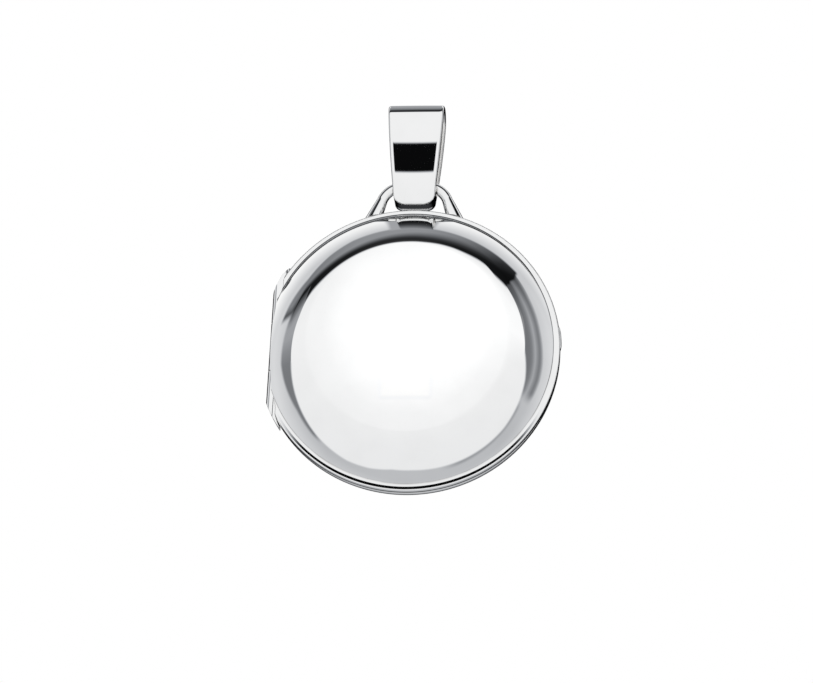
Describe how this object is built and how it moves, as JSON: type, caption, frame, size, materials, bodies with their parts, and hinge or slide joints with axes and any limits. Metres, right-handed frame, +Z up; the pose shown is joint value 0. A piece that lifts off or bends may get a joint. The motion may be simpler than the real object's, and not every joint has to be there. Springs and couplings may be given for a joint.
{
  "type": "round locket pendant",
  "caption": "Polished round locket with low domed halves, a side hinge, a soldered wire loop and a tapered folded bail for a chain.",
  "frame": {"origin": "inside of the bail's top, where the chain bears", "axes": "+Z up along the hanging locket, -Y the face of the lid, -X the hinge side"},
  "size_m": [0.0214, 0.0066, 0.0309],
  "materials": {
    "polished_bail": "mirror polished silver with fine wear",
    "polished_case": "mirror polished silver, satin inside",
    "hinge_wire": "bright drawn silver wire"
  },
  "bodies": {
    "bail": {"bail": "polished_bail"},
    "case": {"back_half": "polished_case", "hinge_pin": "hinge_wire"},
    "lid": {"front_half": "polished_case"}
  },
  "joints": [
    {"name": "swing", "type": "hinge", "parent": "bail", "child": "case", "pos_m": [0, 0.00015, -0.00613], "axis": [1, 0, 0], "range_deg": [-90, 90]},
    {"name": "lid_hinge", "type": "hinge", "parent": "case", "child": "lid", "pos_m": [-0.00974, 0, -0.0194], "axis": [0, 0, -1], "range_deg": [0, 140]}
  ]
}
